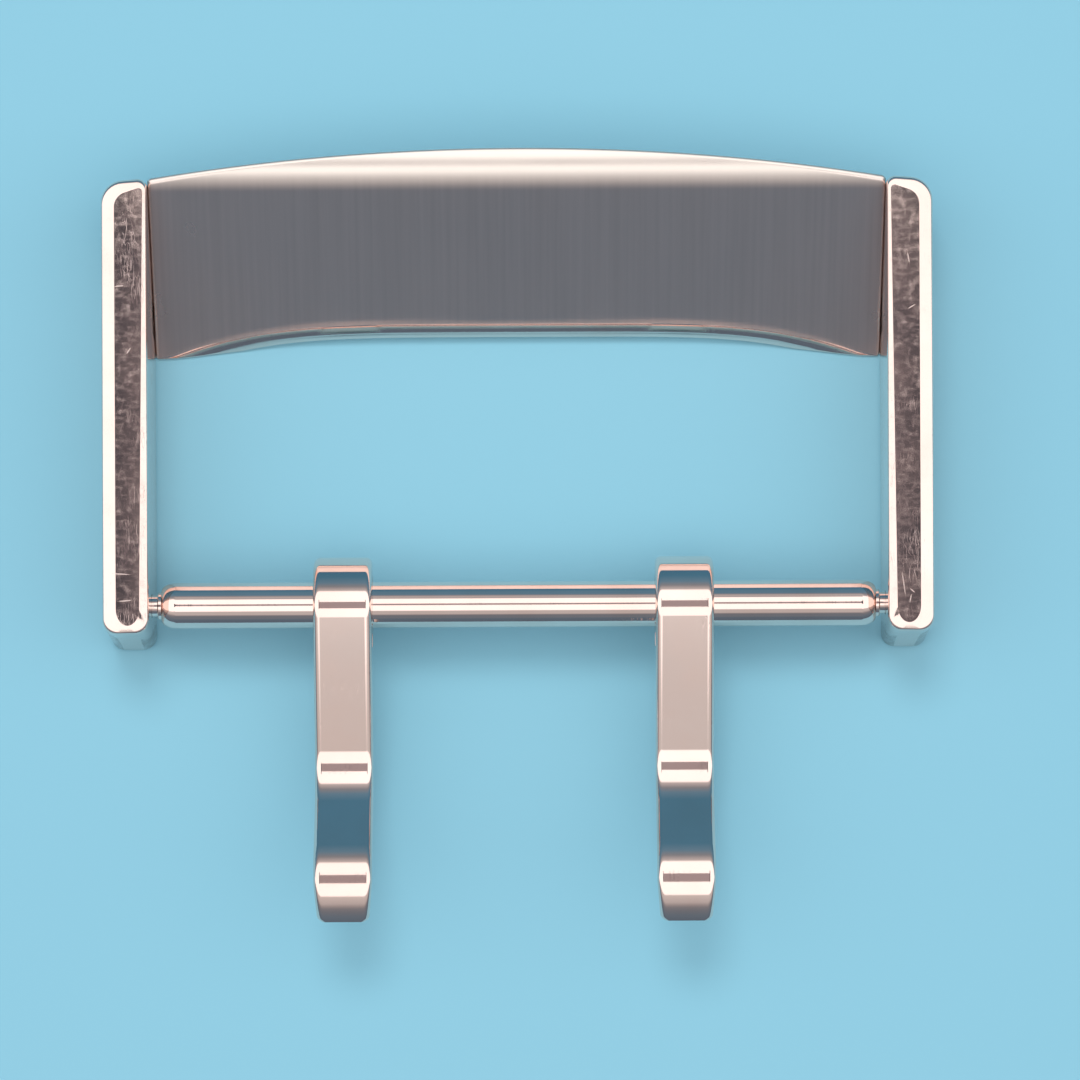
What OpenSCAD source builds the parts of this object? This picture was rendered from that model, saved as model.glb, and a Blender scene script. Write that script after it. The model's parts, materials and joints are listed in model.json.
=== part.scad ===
// Pin buckle with two tongues for a watch strap.
// The frame lies on its front face, wrist side up: +X runs along the spring bar,
// +Y from the bar to the bridge, and the tongues are swung out, away from the bridge.

/* [Frame] */
// Width between the arms, which is the width of the strap's end
strap_w = 24; // [20:0.5:28]
// Width of each arm
arm_w = 1.5; // [1.4:0.1:2.2]
// Height of the frame from its front face to its back face
frame_h = 4; // [3.7:0.1:4.8]
// From the spring bar's axis to the arms' bridge end
arm_reach = 13.9; // [12.5:0.1:17]
// From the spring bar's axis to the arms' free end, at the back face
arm_tail = 0.9; // [0.7:0.05:1.5]
// How much further the free end reaches at the front face
tail_lean = 0.6; // [0:0.05:1]
// Radius of the free end's front corner
tail_round = 0.5; // [0.2:0.05:0.8]
// Radius of the outer corner at the bridge end
corner_r = 0.75; // [0.5:0.05:0.75]
// Radius of the inner corner at the bridge end
inner_corner_r = 0.3; // [0.1:0.02:0.4]
// Radius of the corners at the free end, seen from the back
tail_corner_r = 0.45; // [0.2:0.05:0.6]

/* [Bevels of the arms] */
// Height of the shallow bevel round an arm's back face
bevel_h = 0.085; // [0.05:0.005:0.15]
// Rounding between the bevel and the arm's walls
edge_round = 0.13; // [0.08:0.01:0.2]
// Width of the bevel along the outer edge
outer_bevel = 0.44; // [0.2:0.02:0.5]
// Width of the bevel along the inner edge, beside the bridge
inner_bevel_bridge = 0.14; // [0.1:0.02:0.4]
// Width of the bevel along the inner edge, at the free end
inner_bevel_tail = 0.3; // [0.1:0.02:0.4]
// Width of the bevel across both ends
end_bevel = 0.28; // [0.15:0.01:0.5]
// Chamfer along the edges of the front face
front_chamfer = 0.2; // [0.1:0.05:0.4]

/* [Bridge] */
// How far the outer edge bows out beyond the arms
outer_bow = 0.95; // [0.5:0.05:1.6]
// How far the lip bows, seen from the back
lip_bow = 1; // [0.5:0.02:1.4]
// From the outer edge to the start of the lip, along the middle line
bridge_w = 5.54; // [4.5:0.02:6.4]
// Slope of the satin back face
face_slope = 33; // [28:0.5:35]
// Radius of the rounded crest, next to the outer edge
crest_r = 1.5; // [1.1:0.1:2]
// Lean at which the crest's rounding widens
crest_turn = 15; // [10:1:20]
// Wider radius between the crest and the satin back face
blend_r = 2.2; // [1.7:0.1:3.5]
// From the outer edge to the crest's highest line, along the middle line
crest_inset = 0.38; // [0.2:0.02:0.6]
// Depth of the crest below the arms' back face
crest_drop = 0.15; // [0.05:0.05:0.4]
// Radius of the rounded lip
lip_r = 1.6; // [1:0.1:2]
// Radius of the front surface, which sweeps up from the lip to the outer edge
front_r = 9.4; // [8.5:0.1:14]

/* [Spring bar] */
// Diameter of the barrel
bar_d = 1.5; // [1.3:0.1:1.8]
// From the arms' back face to the bar's axis
bar_drop = 1.65; // [1.6:0.05:2.1]
// Gap between the barrel and each arm
bar_gap = 0.2; // [0.1:0.05:0.5]
// Radius of the barrel's rolled ends
shoulder_r = 0.5; // [0.3:0.05:0.6]
// Wall of the barrel
barrel_wall = 0.24; // [0.18:0.02:0.3]
// Length of the rolled mouth that holds the pin in
mouth_len = 0.45; // [0.3:0.05:0.8]
// Diameter of the pivot pins
pin_d = 0.7; // [0.6:0.05:0.8]
// Radial clearance of a pin in the arm and in the barrel's mouth
pin_clear = 0.04; // [0.02:0.01:0.08]
// How deep a pin reaches into its arm
pin_reach = 0.8; // [0.6:0.05:0.9]
// Depth of the blind hole left beyond the pin's tip
hole_spare = 0.15; // [0.1:0.05:0.3]
// Chamfer on the pin's tip
pin_chamfer = 0.12; // [0.05:0.01:0.2]
// Length of a pin's head inside the barrel
head_len = 1.2; // [0.8:0.1:2]
// Clearance round and behind a pin's head
head_clear = 0.03; // [0.02:0.01:0.06]

/* [Spring] */
// Diameter of the spring's wire
wire_d = 0.16; // [0.12:0.01:0.2]
// Rise of one curl
spring_pitch = 0.72; // [0.65:0.01:1.2]
// Clearance round the spring and at its ends
spring_clear = 0.06; // [0.04:0.01:0.08]

/* [Tongues] */
// Width of a tongue
tongue_w = 1.9; // [1.4:0.05:2.4]
// Thickness of the bent strip
tongue_t = 0.76; // [0.6:0.02:0.84]
// Distance between the middles of the two tongues
tongue_spacing = 11.14; // [8:0.02:13]
// How far the pair has slid along the bar
tongue_shift = -0.16; // [-1:0.02:1]
// Radial clearance of the eye on the bar
eye_clear = 0.05; // [0.03:0.01:0.09]
// Gap where the strip's end closes the eye
eye_slit = 0.12; // [0.08:0.01:0.2]
// Slope of the shank, from the eye down to the valley
shank_slope = 14.5; // [8:0.5:20]
// Slope from the valley up to the peak
rise_slope = 37; // [25:1:42]
// How far the peak stands past the start of the bridge's lip
peak_past_lip = -0.35; // [-0.6:0.05:0.3]
// From the valley to the peak, along the tongue
valley_to_peak = 3.74; // [3.4:0.02:4.5]
// From the peak to the tip, along the tongue
peak_to_tip = 1.34; // [0.8:0.02:1.5]
// Outer radius of the valley
valley_r = 1.9; // [1.4:0.1:2.2]
// Outer radius of the peak
peak_r = 2; // [1.6:0.1:2.3]
// How much the tip narrows on each side
tip_taper = 0.1; // [0:0.02:0.2]
// Radius of the tip's corners, seen from above
tip_corner_r = 0.4; // [0.2:0.05:0.6]

/* [Hidden] */
$fn = 96;
sliver = 0.01;
big = 40;

half_w = strap_w / 2;
axis_z = frame_h - bar_drop;
edge_z = frame_h - bevel_h;
bevel_z = edge_z - edge_round;
tail_front = arm_tail + tail_lean;

outer_mid_y = arm_reach + outer_bow;
outer_r = (half_w * half_w + outer_bow * outer_bow) / (2 * outer_bow);
crest_y = outer_mid_y - crest_inset;
crest_z = frame_h - crest_drop - crest_r;
lip_y = outer_mid_y - bridge_w;
crest_end = [crest_y, crest_z] + crest_r * [-sin(crest_turn), cos(crest_turn)];
blend = crest_end - blend_r * [-sin(crest_turn), cos(crest_turn)];
face_top = blend + blend_r * [-sin(face_slope), cos(face_slope)];
lip_z = face_top[1] - (face_top[0] - lip_y) * tan(face_slope);
lip_arc_r = (half_w * half_w + lip_bow * lip_bow) / (2 * lip_bow);
lip_front_y = lip_y - lip_r * (1 - sin(face_slope));
lip_edge = 0.06;

barrel_half = half_w - bar_gap;
bore_r = bar_d / 2 - barrel_wall;
pin_r = pin_d / 2;
pin_hole_r = pin_r + pin_clear;
head_r = bore_r - head_clear;
head_x = barrel_half - mouth_len - head_clear;
pin_tip_x = half_w + pin_reach;
coil_half = head_x - head_len - spring_clear;
coil_r = bore_r - spring_clear - wire_d / 2;
coil_turns = floor((2 * coil_half - wire_d) / spring_pitch);
coil_pitch = (2 * coil_half - wire_d) / coil_turns;

eye_in = bar_d / 2 + eye_clear;
eye_out = eye_in + tongue_t;
peak_u = lip_y + peak_past_lip;
valley_u = peak_u - valley_to_peak;
tip_u = peak_u + peak_to_tip;
tip_turn = asin(peak_to_tip / peak_r);
shank_run = valley_u - (valley_r + eye_out) * sin(shank_slope);
valley_v = eye_out * cos(shank_slope) - shank_run * tan(shank_slope)
         - valley_r * (1 - cos(shank_slope));
rise_run = valley_to_peak - (valley_r + peak_r) * sin(rise_slope);
peak_v = valley_v + (valley_r + peak_r) * (1 - cos(rise_slope)) + rise_run * tan(rise_slope);

// Middle of the whole part along Y, which is where its origin lies
mid_y = (outer_mid_y - tip_u) / 2;

function arc(centre, r, from, to, steps = 14) =
    [for (i = [0:steps]) let (a = from + (to - from) * i / steps) centre + r * [cos(a), sin(a)]];

// Puts a shape drawn about the spring bar's axis into the part's own frame
module seat() {
    translate([0, -mid_y, 0]) children();
}

// Turns a shape drawn in Y and Z into a bar of a given width, centred on X
module across(width) {
    rotate([90, 0, 90]) translate([0, 0, -width / 2]) linear_extrude(width) children();
}

// Frame

// Everything above the frame's front surface, seen from the side
module above_front() {
    translate([-big, 0]) square([big + lip_front_y, big]);
    translate([lip_front_y, front_r]) circle(front_r, $fn = 360);
}

module arm_side() {
    intersection() {
        square([arm_reach, bevel_z]);
        above_front();
    }
}

// A rectangle with its own radius at each of its two corners at the bridge end
module rounded_plan(from, to, inner_r, outer_r) {
    difference() {
        translate(from) square(to - from);
        translate([to[0] - outer_r, to[1] - outer_r]) difference() {
            square(outer_r + 1);
            circle(outer_r);
        }
        translate([from[0] + inner_r, to[1] - inner_r]) difference() {
            translate([-inner_r - 1, 0]) square(inner_r + 1);
            circle(inner_r);
        }
    }
}

// A thin round disc that stands for one corner of an outline
module corner_disc(x, y, z, r) {
    translate([x, y, z - sliver]) cylinder(r = r, h = sliver, $fn = 32);
}

// The arm's outline, drawn in by a given amount
module arm_outline(inset, z) {
    x0 = half_w + inset;
    x1 = half_w + arm_w - inset;
    tail = tail_corner_r - inset / 2;
    outer = min(corner_r, (x1 - x0) / 2);
    corner_disc(x0 + tail, -arm_tail + inset + tail, z, tail);
    corner_disc(x1 - tail, -arm_tail + inset + tail, z, tail);
    corner_disc(x0 + inner_corner_r, arm_reach - inset - inner_corner_r, z, inner_corner_r);
    corner_disc(x1 - outer, arm_reach - inset - outer, z, outer);
}

// The bevelled slab under an arm's polished back face, which ends in a half round
module arm_bevel() {
    x0 = half_w;
    x1 = half_w + arm_w;
    tail_x = (x0 + inner_bevel_tail + x1 - outer_bevel) / 2;
    tail_r = (arm_w - inner_bevel_tail - outer_bevel) / 2;
    top_r = (arm_w - outer_bevel - inner_bevel_bridge) / 2;
    hull() {
        arm_outline(0, bevel_z);
        arm_outline(0.3 * edge_round, edge_z);
        corner_disc(tail_x, -arm_tail + end_bevel + tail_r, frame_h, tail_r);
        corner_disc(x0 + inner_bevel_bridge + 0.1, arm_reach - end_bevel - 0.1, frame_h, 0.1);
        corner_disc(x1 - outer_bevel - top_r, arm_reach - end_bevel - top_r, frame_h, top_r);
    }
}

// The free end: it leans out towards the front face, where its corner is rounded
module arm_free_end() {
    x0 = half_w;
    x1 = half_w + arm_w;
    c = front_chamfer;
    r = tail_corner_r;
    lean = tail_lean / bevel_z;
    hull() {
        translate([x0, 0.6, 0]) cube([arm_w - c, sliver, bevel_z]);
        translate([x0, 0.6, c]) cube([arm_w, sliver, bevel_z - c]);
        for (x = [x0 + r, x1 - r]) {
            corner_disc(x, -arm_tail + r, bevel_z, r);
            corner_disc(x, -tail_front + lean * tail_round + r, tail_round, r);
            corner_disc(x, -tail_front + 0.35 * tail_round + r, 0.15 * tail_round, r - c / 2);
            corner_disc(x, -tail_front + 0.9 * tail_round + r, sliver, r - c);
        }
    }
}

module arm() {
    x0 = half_w;
    x1 = half_w + arm_w;
    c = front_chamfer;
    difference() {
        union() {
            intersection() {
                translate([half_w + arm_w / 2, 0, 0]) across(arm_w) arm_side();
                linear_extrude(bevel_z)
                    rounded_plan([x0, 0.6], [x1, arm_reach], inner_corner_r, corner_r);
                rotate([90, 0, 0]) translate([0, 0, -big / 2]) linear_extrude(big)
                    polygon([[x0, 0], [x1 - c, 0], [x1, c], [x1, frame_h], [x0, frame_h]]);
            }
            arm_free_end();
            arm_bevel();
        }
        translate([half_w - 1, 0, axis_z]) rotate([0, 90, 0])
            cylinder(r = pin_hole_r, h = 1 + pin_reach + hole_spare);
    }
}

module left_arm() {
    color("rosybrown") seat() mirror([1, 0, 0]) arm();
}

module right_arm() {
    color("rosybrown") seat() arm();
}

// Heights of the bridge's back and front surfaces at a given Y
function back_z(y) =
    y > crest_end[0] ? crest_z + sqrt(crest_r * crest_r - pow(y - crest_y, 2))
    : y > face_top[0] ? blend[1] + sqrt(blend_r * blend_r - pow(y - blend[0], 2))
    : face_top[1] - (face_top[0] - y) * tan(face_slope);
function front_z(y) =
    y > lip_front_y ? front_r - sqrt(front_r * front_r - pow(y - lip_front_y, 2)) : 0;

// Where the outer wall, the fold under the crest and the start of the lip stand at a given X
function wall_at(x) = outer_mid_y - outer_r + sqrt(outer_r * outer_r - x * x);
function fold_at(x) = min(face_top[0], wall_at(x) - 0.05);
function lip_at(x) = lip_y - lip_arc_r + sqrt(lip_arc_r * lip_arc_r - x * x);

// The bridge's section at a given X, from the outer wall over the crest, round the lip and back
function bridge_section(x) =
    let (wall = wall_at(x), fold = fold_at(x), lip = lip_at(x),
         middle = [lip, back_z(lip)] + lip_r * [sin(face_slope), -cos(face_slope)],
         turn = 90 - face_slope - asin(max(0, lip_edge - middle[1]) / lip_r),
         rounding = arc(middle, lip_r, 90 + face_slope, 90 + face_slope + turn, 9),
         edge = rounding[9][0])
    concat([for (i = [0:14]) let (y = wall + (fold - wall) * i / 14) [y, back_z(y)]],
           rounding,
           [for (i = [0:14]) let (y = edge + (wall - edge) * i / 14) [y, front_z(y)]]);

module bridge() {
    steps = 20;
    sections = [for (i = [0:steps]) bridge_section(strap_w * (i / steps - 0.5))];
    count = len(sections[0]);
    points = [for (i = [0:steps]) for (p = sections[i]) [strap_w * (i / steps - 0.5), p[0], p[1]]];
    skin = [for (i = [0:steps - 1]) for (k = [0:count - 1])
        let (a = i * count + k, b = i * count + (k + 1) % count)
        each [[a, b, a + count], [b, b + count, a + count]]];
    left_end = [for (k = [count - 1:-1:0]) k];
    right_end = [for (k = [0:count - 1]) steps * count + k];
    color("dimgray") seat() polyhedron(points, concat(skin, [left_end, right_end]), convexity = 4);
}

// Spring bar, drawn along X about its own axis

module along_bar() {
    seat() translate([0, 0, axis_z]) rotate([0, 90, 0]) children();
}

// The barrel's outline, from the axis outwards: a rectangle with rolled corners
module barrel_outline() {
    x = bar_d / 2 - shoulder_r;
    y = barrel_half - shoulder_r;
    translate([0, -barrel_half]) square([x, 2 * barrel_half]);
    translate([0, -y]) square([bar_d / 2, 2 * y]);
    for (end = [-1, 1]) {
        intersection() {
            translate([x, end * y]) circle(shoulder_r);
            translate([0, -barrel_half]) square([bar_d / 2, 2 * barrel_half]);
        }
    }
}

module bar_barrel() {
    color("tan") along_bar() difference() {
        rotate_extrude() barrel_outline();
        cylinder(r = bore_r, h = 2 * (barrel_half - mouth_len), center = true);
        cylinder(r = pin_hole_r, h = 2 * barrel_half + 1, center = true);
    }
}

module pivot_pin() {
    head_back = head_x - head_len;
    rotate_extrude()
        polygon([[0, head_back], [head_r, head_back], [head_r, head_x], [pin_r, head_x],
                 [pin_r, pin_tip_x - pin_chamfer], [pin_r - pin_chamfer, pin_tip_x], [0, pin_tip_x]]);
}

module right_pivot_pin() {
    color("silver") along_bar() pivot_pin();
}

module left_pivot_pin() {
    color("silver") along_bar() mirror([0, 0, 1]) pivot_pin();
}

// Spring: one round wire wound at a steady rise

coil_rings = 8;
coil_sides = 6;

function coil_at(turn) =
    [coil_r * cos(360 * turn), coil_r * sin(360 * turn),
     coil_pitch * turn - coil_half + wire_d / 2];

function wire_ring(turn) =
    let (out = [cos(360 * turn), sin(360 * turn), 0],
         along = [-sin(360 * turn) * coil_r * 2 * PI, cos(360 * turn) * coil_r * 2 * PI, coil_pitch],
         up = cross(out, along / norm(along)))
    [for (k = [0:coil_sides - 1]) let (a = 360 * k / coil_sides)
        coil_at(turn) + wire_d / 2 * (cos(a) * out + sin(a) * up)];

function least(values) = min([for (v = values) v]);

// Smallest distance between the wire and the next curl, measured on points half a turn or more apart
coil_gap = least([for (i = [coil_rings / 2:2 * coil_rings]) norm(coil_at(i / coil_rings) - coil_at(0))])
         - wire_d;
echo(spring_gap_to_itself = coil_gap);

module bar_spring() {
    rings = coil_turns * coil_rings;
    points = [for (i = [0:rings]) each wire_ring(i / coil_rings)];
    sides = [for (i = [0:rings - 1]) for (k = [0:coil_sides - 1])
        let (a = i * coil_sides + k, b = i * coil_sides + (k + 1) % coil_sides)
        each [[a, a + coil_sides, b], [b, a + coil_sides, b + coil_sides]]];
    first = [for (k = [1:coil_sides - 2]) [0, k, k + 1]];
    start = rings * coil_sides;
    last = [for (k = [1:coil_sides - 2]) [start, start + k + 1, start + k]];
    color("gray") along_bar() polyhedron(points, concat(sides, first, last), convexity = 10);
}

// Tongues: U runs from the bar's axis towards the tip and V towards the back

module tongue_side() {
    valley = [valley_u, valley_v + valley_r];
    peak = [peak_u, peak_v - peak_r];
    eye_from = asin(eye_in / eye_out) - shank_slope;
    outer = concat(
        arc(valley, valley_r, 270 - shank_slope, 270 + rise_slope),
        arc(peak, peak_r, 90 + rise_slope, 90 - tip_turn));
    inner = concat(
        arc(peak, peak_r - tongue_t, 90 - tip_turn, 90 + rise_slope),
        arc(valley, valley_r + tongue_t, 270 + rise_slope, 270 - shank_slope));
    eye = arc([0, 0], eye_out, eye_from, -270 - shank_slope, 80);
    difference() {
        polygon(concat(outer, inner, eye));
        circle(eye_in);
        rotate(-shank_slope) translate([0, eye_in - eye_slit]) square([eye_out, eye_slit]);
    }
}

// The tongue seen from above, which narrows and rounds off at its tip
module tongue_plan() {
    r = tip_corner_r;
    half = tongue_w / 2;
    narrow = half - tip_taper;
    polygon([[-half, -eye_out - 1], [half, -eye_out - 1], [half, peak_u],
             [narrow, tip_u - r], [-narrow, tip_u - r], [-half, peak_u]]);
    translate([-narrow + r, tip_u - r - sliver]) square([2 * (narrow - r), r + sliver]);
    for (side = [-1, 1]) {
        translate([side * (narrow - r), tip_u - r]) circle(r);
    }
}

module tongue(x) {
    seat() translate([x, 0, axis_z]) rotate([0, 0, 180]) intersection() {
        across(tongue_w + 1) tongue_side();
        translate([0, 0, -big / 2]) linear_extrude(big) tongue_plan();
    }
}

module left_tongue() {
    color("burlywood") tongue(tongue_shift - tongue_spacing / 2);
}

module right_tongue() {
    color("burlywood") tongue(tongue_shift + tongue_spacing / 2);
}

left_arm();
right_arm();
bridge();
bar_barrel();
bar_spring();
left_pivot_pin();
right_pivot_pin();
left_tongue();
right_tongue();
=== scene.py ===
# %% [markdown]
# The part is a watch buckle with two tongues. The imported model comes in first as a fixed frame:
# its bodies, joints and boxes say where each piece sits. The pieces that show are then modelled
# again with smooth, bevelled meshes, because polished metal shows every facet and every edge
# that has no rounding.

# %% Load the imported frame
import json
from math import acos, asin, atan2, cos, pi, radians, sin, sqrt, tan

import bmesh
import bpy
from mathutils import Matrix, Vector


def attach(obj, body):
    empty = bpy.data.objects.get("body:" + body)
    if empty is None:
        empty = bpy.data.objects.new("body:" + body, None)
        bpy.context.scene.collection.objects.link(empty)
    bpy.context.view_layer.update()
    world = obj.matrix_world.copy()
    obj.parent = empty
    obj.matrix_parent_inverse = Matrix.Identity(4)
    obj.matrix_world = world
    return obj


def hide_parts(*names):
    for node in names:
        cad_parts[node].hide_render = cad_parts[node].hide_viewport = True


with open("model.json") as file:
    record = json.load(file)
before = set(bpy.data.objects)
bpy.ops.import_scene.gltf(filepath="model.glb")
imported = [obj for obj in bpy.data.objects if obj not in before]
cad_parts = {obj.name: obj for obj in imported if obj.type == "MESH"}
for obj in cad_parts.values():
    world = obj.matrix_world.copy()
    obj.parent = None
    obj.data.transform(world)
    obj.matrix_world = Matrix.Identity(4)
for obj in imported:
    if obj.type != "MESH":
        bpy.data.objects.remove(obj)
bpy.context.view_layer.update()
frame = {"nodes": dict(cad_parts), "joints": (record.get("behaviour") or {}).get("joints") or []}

joints = {joint["name"]: joint for joint in frame["joints"]}

# %% [markdown]
# Every length below is in millimetres and counts from the spring bar's axis: X along the bar,
# Y towards the bridge, Z up from the table. One helper turns a finished bmesh into an object in
# metres, moves it from the bar's axis to the frame's own origin, shades it smooth, keeps the
# real edges sharp and lets flat faces rule the normals, as a polisher's flat lap would.

# %% Places that the frame gives
MM = 0.001
# Points nearer than MERGE become one, and what is nearer than NEAR counts as touching
MERGE = 0.0004
NEAR = 1e-4
# bar_y stays in metres, since a piece is moved by it after it is scaled
bar_y = joints["bar_spin"]["pos_m"][1]
bar_z = joints["bar_spin"]["pos_m"][2] / MM
left_x = joints["left_tongue_swing"]["pos_m"][0] / MM
right_x = joints["right_tongue_swing"]["pos_m"][0] / MM
print("bar axis at z =", bar_z, "mm, tongues at x =", left_x, "and", right_x)


# %% Turn a bmesh into a piece of the scene
def make_piece(name, bm, body, node, materials, sharp=32, crisp_z=None):
    """Edges that turn more than sharp degrees stay crisp, and so do all edges at height crisp_z."""
    bmesh.ops.remove_doubles(bm, verts=bm.verts[:], dist=MERGE)
    bmesh.ops.recalc_face_normals(bm, faces=bm.faces[:])
    for edge in bm.edges:
        edge.smooth = len(edge.link_faces) == 2 and edge.calc_face_angle(0) < radians(sharp)
        if crisp_z is not None and all(abs(v.co.z - crisp_z) < NEAR for v in edge.verts):
            edge.smooth = False
    for face in bm.faces:
        face.smooth = True
    bmesh.ops.scale(bm, vec=(MM, MM, MM), verts=bm.verts[:])
    bmesh.ops.translate(bm, vec=(0, bar_y, 0), verts=bm.verts[:])
    mesh = bpy.data.meshes.new(name)
    bm.to_mesh(mesh)
    bm.free()
    piece = bpy.data.objects.new(name, mesh)
    bpy.context.scene.collection.objects.link(piece)
    for material in materials:
        mesh.materials.append(material)
    weighted = piece.modifiers.new("flat faces rule", "WEIGHTED_NORMAL")
    weighted.keep_sharp = True
    weighted.weight = 100
    weighted.thresh = 0
    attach(piece, body)
    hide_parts(node)
    size = [round(v / MM, 2) for v in piece.dimensions]
    print(name, "has", len(mesh.polygons), "faces and measures", size, "mm")


# %% [markdown]
# The metal is a pale rose gold. Polished gold has no colour of its own apart from what it
# mirrors, so the shader is plain metal with a pinkish tint, and all the life comes from fine
# things: hairline scratches that tilt the mirror a little, patches that are a bit duller, and a
# slow change of tint. Each helper below adds one such layer, so that every finish can be put
# together from the same few layers.

# %% Layers that a finish is made from
def new_finish(name, color, roughness):
    material = bpy.data.materials.new(name)
    material.use_nodes = True
    shader = material.node_tree.nodes["Principled BSDF"]
    shader.inputs["Metallic"].default_value = 1.0
    shader.inputs["Roughness"].default_value = roughness
    shader.inputs["Base Color"].default_value = (*color, 1)
    place = material.node_tree.nodes.new("ShaderNodeTexCoord")
    return material, shader, place.outputs["Object"]


def link(material, source, target):
    material.node_tree.links.new(source, target)


def stretched(material, place, scale, turn=(0, 0, 0)):
    mapping = material.node_tree.nodes.new("ShaderNodeMapping")
    mapping.inputs["Scale"].default_value = scale
    mapping.inputs["Rotation"].default_value = turn
    link(material, place, mapping.inputs["Vector"])
    return mapping.outputs["Vector"]


def noise(material, place, scale, detail=3.0, turn=(0, 0, 0)):
    texture = material.node_tree.nodes.new("ShaderNodeTexNoise")
    texture.inputs["Scale"].default_value = 1.0
    texture.inputs["Detail"].default_value = detail
    link(material, stretched(material, place, scale, turn), texture.inputs["Vector"])
    return texture.outputs["Fac"]


def remap(material, value, source, target):
    """Turns a value's span source into the span target and stops at its ends."""
    node = material.node_tree.nodes.new("ShaderNodeMapRange")
    node.inputs["From Min"].default_value, node.inputs["From Max"].default_value = source
    node.inputs["To Min"].default_value, node.inputs["To Max"].default_value = target
    link(material, value, node.inputs["Value"])
    return node.outputs["Result"]


def combine(material, a, b, operation="MULTIPLY"):
    """Joins a with b, which is another node's output or a number."""
    node = material.node_tree.nodes.new("ShaderNodeMath")
    node.operation = operation
    link(material, a, node.inputs[0])
    if hasattr(b, "type"):
        link(material, b, node.inputs[1])
    else:
        node.inputs[1].default_value = b
    return node.outputs[0]


def hairlines(material, place, along, across, turn, width=0.012):
    """Thin, nearly straight scratches: the level lines of a noise that is stretched along them."""
    level = noise(material, place, (across, along, along), detail=1, turn=(0, 0, radians(turn)))
    off = combine(material, level, 0.5, "SUBTRACT")
    size = material.node_tree.nodes.new("ShaderNodeMath")
    size.operation = "ABSOLUTE"
    link(material, off, size.inputs[0])
    return remap(material, size.outputs[0], (0.0, width), (1.0, 0.0))


def tint(material, factor, color_a, color_b):
    node = material.node_tree.nodes.new("ShaderNodeMix")
    node.data_type = "RGBA"
    link(material, factor, node.inputs["Factor"])
    for socket, color in (("A", color_a), ("B", color_b)):
        sockets = [s for s in node.inputs if s.name == socket and s.type == "RGBA"]
        if isinstance(color, tuple):
            sockets[0].default_value = (*color, 1)
        else:
            link(material, color, sockets[0])
    return [s for s in node.outputs if s.type == "RGBA"][0]


def relief(material, shader, height, depth):
    node = material.node_tree.nodes.new("ShaderNodeBump")
    node.inputs["Distance"].default_value = depth
    node.inputs["Strength"].default_value = 1.0
    link(material, height, node.inputs["Height"])
    link(material, node.outputs["Normal"], shader.inputs["Normal"])


# %% [markdown]
# The frame and the tongues are buffed to a mirror. On the real buckle the mirror is never
# perfect: there are wipe marks in all directions, and four sets of crossed hairlines stand for
# them. The arms' flats rub on cloth and skin, so their hairlines are shorter, and fine specks
# and a few single scratches come on top.

# %% Single scratches on the flats
FRAME_H = 4.0
SCRATCH_HALF_W = 0.028
# A scratch fades out between these two shares of its own radius
SCRATCH_FADE = (0.5, 1.0)
# Each one's x, y, turn in degrees and half length, counted from the bar's axis
SCRATCHES = [(-12.9, 1.06, -3, 0.42), (-12.75, 0.19, 4, 0.3), (12.5, 0.64, -82, 0.55),
             (12.78, 0.41, -40, 0.14), (12.72, 0.15, 78, 0.2), (12.8, 9.62, 30, 0.2),
             (-12.6, 8.3, 55, 0.18), (-12.9, 10.4, 5, 0.22), (12.7, 11.2, 100, 0.25)]


def scratch(material, place, x, y, turn, half_length):
    """One straight scratch as a thin, long spindle."""
    mapping = material.node_tree.nodes.new("ShaderNodeMapping")
    mapping.vector_type = "TEXTURE"
    mapping.inputs["Location"].default_value = (x * MM, bar_y + y * MM, FRAME_H * MM)
    mapping.inputs["Rotation"].default_value = (0, 0, radians(turn))
    mapping.inputs["Scale"].default_value = (half_length * MM, SCRATCH_HALF_W * MM, MM)
    link(material, place, mapping.inputs["Vector"])
    size = material.node_tree.nodes.new("ShaderNodeVectorMath")
    size.operation = "LENGTH"
    link(material, mapping.outputs["Vector"], size.inputs[0])
    return remap(material, size.outputs["Value"], SCRATCH_FADE, (1.0, 0.0))


print(len(SCRATCHES), "single scratches")

# %% Polished rose gold
ROSE_GOLD = (0.92, 0.735, 0.67)
ROSE_GOLD_DULL = (0.88, 0.68, 0.61)
# Noise scales count per metre, and levels are the span of noise over which a layer comes in
PATCH_SCALE = (500, 500, 500)
PATCH_TINT_LEVELS = (0.35, 0.7)
PATCH_DULL_LEVELS = (0.35, 0.75)
WAVE_SCALE = (900, 900, 900)
WAVE_SHARE = 0.6
HAIRLINE_LEVELS = (0.5, 0.62)
# The crossed hairlines' turn in degrees and their scale across
HAIRLINES = [(14, 5200), (-31, 4300), (68, 3600), (-80, 4700)]
# The specks' scale, turn in degrees and the level of noise from which they show
SPECKS = [((2600, 6200, 3000), 35, 0.47), ((5200, 2300, 3000), -20, 0.50)]
SPECK_FADE = 0.2
SCRATCH_ROUGHNESS = 0.3


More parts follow.
